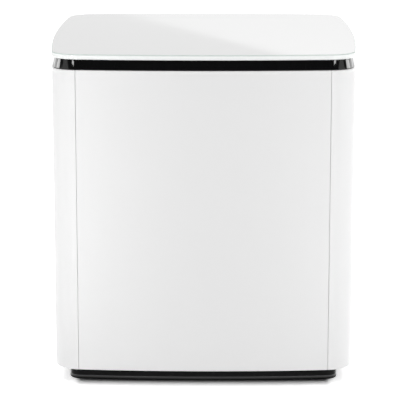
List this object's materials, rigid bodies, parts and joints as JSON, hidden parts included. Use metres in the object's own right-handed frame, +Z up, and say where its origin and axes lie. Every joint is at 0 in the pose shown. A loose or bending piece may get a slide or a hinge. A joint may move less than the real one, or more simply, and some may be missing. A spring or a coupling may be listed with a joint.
{
  "type": "wireless bass module",
  "caption": "Bowed white cube subwoofer with a glass top and black reveal, on a black plinth over a down-firing woofer, with a rear port and a recessed connector panel.",
  "frame": {"origin": "on the floor under the middle of the cabinet", "axes": "+Z up, front panel towards -Y, connector panel towards +Y, +X to the right as seen from the front"},
  "size_m": [0.295, 0.295, 0.32],
  "materials": {
    "white_panel": "satin",
    "white_glass": "gloss",
    "gloss_black": "gloss",
    "satin_black": "satin",
    "grille_steel": "satin",
    "fibreboard": "matte",
    "rubber": "matte",
    "cone_paper": "matte",
    "cast_alloy": "satin",
    "zinc_steel": "satin",
    "ferrite": "matte",
    "copper_wire": "satin",
    "spider_cloth": "matte",
    "coil_former": "satin",
    "circuit_board": "satin",
    "aluminium": "satin",
    "nickel": "polished",
    "light_lens": "gloss",
    "wadding": "matte"
  },
  "bodies": {
    "cabinet": {"glass_top": "white_glass", "glass_bond_pad": "rubber", "reveal_trim": "gloss_black", "top_board": "fibreboard", "front_panel": "white_panel", "left_side_panel": "white_panel", "right_side_panel": "white_panel", "rear_panel": "white_panel", "bottom_baffle": "fibreboard", "woofer_grille": "grille_steel", "base_plinth": "gloss_black", "foot_front_left": "rubber", "foot_front_right": "rubber", "foot_rear_right": "rubber", "foot_rear_left": "rubber", "batten_front_left": "fibreboard", "batten_front_right": "fibreboard", "batten_rear_right": "fibreboard", "batten_rear_left": "fibreboard", "cross_brace": "fibreboard", "damping_pad": "wadding", "woofer_gasket": "rubber", "woofer_basket": "cast_alloy", "woofer_surround": "rubber", "woofer_spider": "spider_cloth", "woofer_top_plate": "zinc_steel", "woofer_magnet": "ferrite", "woofer_back_plate": "zinc_steel", "woofer_terminal": "satin_black", "woofer_screw_1": "zinc_steel", "woofer_screw_2": "zinc_steel", "woofer_screw_3": "zinc_steel", "woofer_screw_4": "zinc_steel", "port_flare": "satin_black", "port_tube": "satin_black", "connector_panel": "satin_black", "mains_inlet": "satin_black", "mains_pin_left": "nickel", "mains_pin_right": "nickel", "bass_jack": "satin_black", "service_port": "nickel", "status_light": "light_lens", "panel_screw_1": "zinc_steel", "panel_screw_2": "zinc_steel", "panel_screw_3": "zinc_steel", "panel_screw_4": "zinc_steel", "amplifier_board": "circuit_board", "amplifier_heat_sink": "aluminium", "power_transformer": "ferrite", "power_capacitor_1": "satin_black", "power_capacitor_2": "satin_black", "wireless_module": "circuit_board", "woofer_lead": "rubber"},
    "woofer_moving": {"woofer_cone": "cone_paper", "woofer_dust_cap": "cone_paper", "voice_coil_former": "coil_former", "voice_coil_winding": "copper_wire"},
    "pairing_button": {"pairing_button": "satin_black"}
  },
  "joints": [
    {"name": "woofer_excursion", "type": "slide", "parent": "cabinet", "child": "woofer_moving", "axis": [0, 0, 1], "range_m": [-0.008, 0.008], "stiffness_N_per_m": 5000, "deforming": ["woofer_surround", "woofer_spider"]},
    {"name": "pairing_button_press", "type": "slide", "parent": "cabinet", "child": "pairing_button", "axis": [0, -1, 0], "range_m": [0, 0.0008], "stiffness_N_per_m": 400, "springref_m": -0.002}
  ]
}
